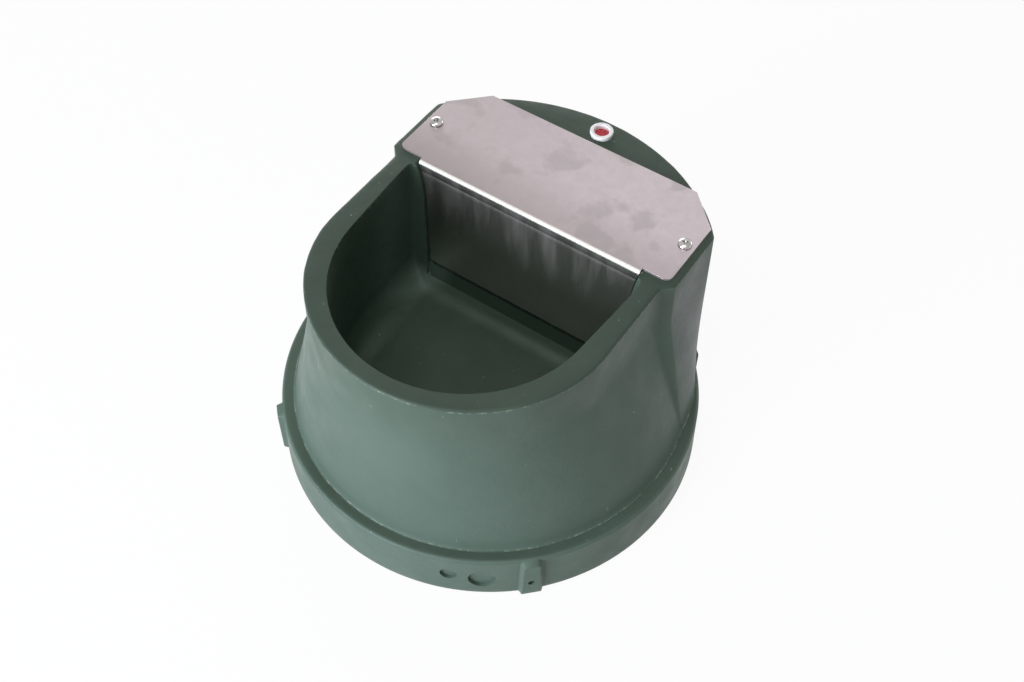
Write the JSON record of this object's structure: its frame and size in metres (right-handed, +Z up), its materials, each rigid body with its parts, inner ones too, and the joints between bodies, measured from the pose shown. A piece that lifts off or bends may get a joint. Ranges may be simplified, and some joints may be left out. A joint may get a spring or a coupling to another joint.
{
  "type": "livestock drinking bowl",
  "caption": "Insulated livestock drinking bowl with a float valve under a steel cover, on a round base ring that drops over a stand pipe.",
  "frame": {"origin": "centre of the base ring on the floor", "axes": "+Z up, -Y towards the drinking end, +X to the right of someone facing the bowl"},
  "size_m": [0.38, 0.38, 0.2239],
  "materials": {
    "green_shell": "moulded dark green polyethylene, fine grained, slightly scuffed",
    "foam": "rigid insulating foam, inside the skins",
    "steel_cover": "stainless sheet, faintly brushed and stained",
    "steel_fastener": "stainless steel fasteners",
    "brass": "turned and cast brass, dulled",
    "white_plastic": "white moulded plastic",
    "red_plastic": "red moulded plastic",
    "black_rubber": "black rubber",
    "float_plastic": "blow-moulded pale plastic"
  },
  "bodies": {
    "housing": {"shell": "green_shell", "foam_core": "foam", "cover": "steel_cover", "cover_screws": "steel_fastener", "insert_nuts": "brass", "filler_bush": "white_plastic", "filler_plug": "red_plastic", "valve_body": "brass", "valve_nozzle": "white_plastic", "valve_gasket": "black_rubber", "valve_washer": "steel_fastener", "valve_locknut": "brass", "pivot_pin": "steel_fastener", "pivot_clip": "steel_fastener"},
    "float_lever": {"lever": "brass", "adjusting_screw": "steel_fastener", "adjusting_nut": "brass", "float_arm": "brass", "arm_nuts": "brass", "float": "float_plastic"},
    "piston": {"piston": "brass", "piston_seal": "black_rubber"}
  },
  "joints": [
    {"name": "float_swing", "type": "hinge", "parent": "housing", "child": "float_lever", "pos_m": [-0.06, 0.097, 0.1574], "axis": [0, -1, 0], "range_deg": [0, 22]},
    {"name": "piston_slide", "type": "slide", "parent": "housing", "child": "piston", "axis": [0, 0, -1], "range_m": [0, 0.00576]}
  ],
  "couplings": [
    {"joint": "piston_slide", "follows": "float_swing", "m_per_rad": 0.015}
  ]
}
